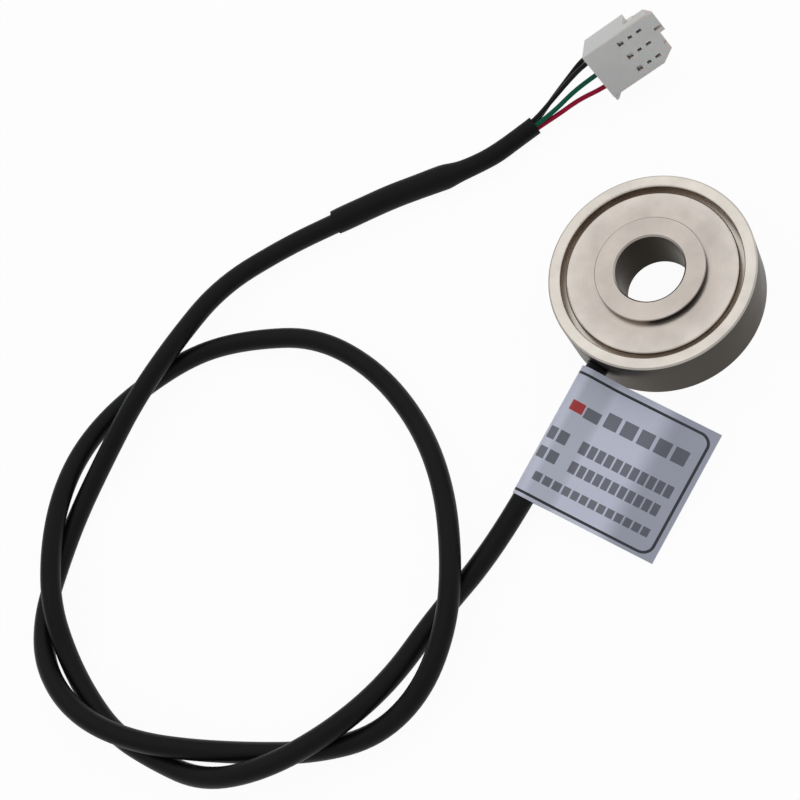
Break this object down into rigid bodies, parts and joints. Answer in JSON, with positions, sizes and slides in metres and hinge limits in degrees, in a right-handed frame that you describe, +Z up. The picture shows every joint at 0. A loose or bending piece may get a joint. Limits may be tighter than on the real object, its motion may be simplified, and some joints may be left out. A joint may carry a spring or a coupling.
{
  "type": "weighing load cell",
  "caption": "Ring-shaped steel load cell with a raised load boss round a through bore, and a thin signal cable that ends in a small crimp connector.",
  "frame": {"origin": "centre of the ring's foot, on the surface that it stands on", "axes": "+Z up along the bore, against the load; the cable leaves the ring towards -X"},
  "size_m": [0.1396, 0.0897, 0.0128],
  "materials": {
    "ring_steel": "fine turned",
    "cover_steel": "satin",
    "soft_seal": "soft silicone",
    "gauge_film": "etched foil on amber film",
    "lead_enamel": "enamelled copper",
    "terminal_tin": "tinned",
    "board_laminate": "solder mask",
    "chip_ceramic": "matt",
    "ferrule_brass": "plain",
    "core_red": "smooth",
    "core_green": "smooth",
    "core_black": "smooth",
    "cable_jacket": "smooth",
    "label_film": "smooth film",
    "sleeve_black": "shrink sleeve",
    "housing_nylon": "moulded"
  },
  "bodies": {
    "root": {"sensing_body": "ring_steel", "base_cover": "cover_steel", "cover_seal": "soft_seal", "strain_gauge_1": "gauge_film", "gauge_lead_1": "lead_enamel", "crimp_terminal_1": "terminal_tin", "strain_gauge_2": "gauge_film", "gauge_lead_2": "lead_enamel", "crimp_terminal_2": "terminal_tin", "strain_gauge_3": "gauge_film", "gauge_lead_3": "lead_enamel", "crimp_terminal_3": "terminal_tin", "strain_gauge_4": "gauge_film", "gauge_lead_4": "lead_enamel", "crimp_terminal_4": "terminal_tin", "terminal_board": "board_laminate", "span_resistor": "chip_ceramic", "zero_resistor": "chip_ceramic", "cable_ferrule": "ferrule_brass", "exit_seal": "soft_seal", "inner_core_red": "core_red", "inner_core_green": "core_green", "inner_core_black_1": "core_black", "inner_core_black_2": "core_black", "core_red": "core_red", "core_green": "core_green", "core_black_1": "core_black", "core_black_2": "core_black", "cable": "cable_jacket", "cable_label": "label_film", "shrink_sleeve": "sleeve_black", "connector_housing": "housing_nylon"}
  },
  "joints": []
}
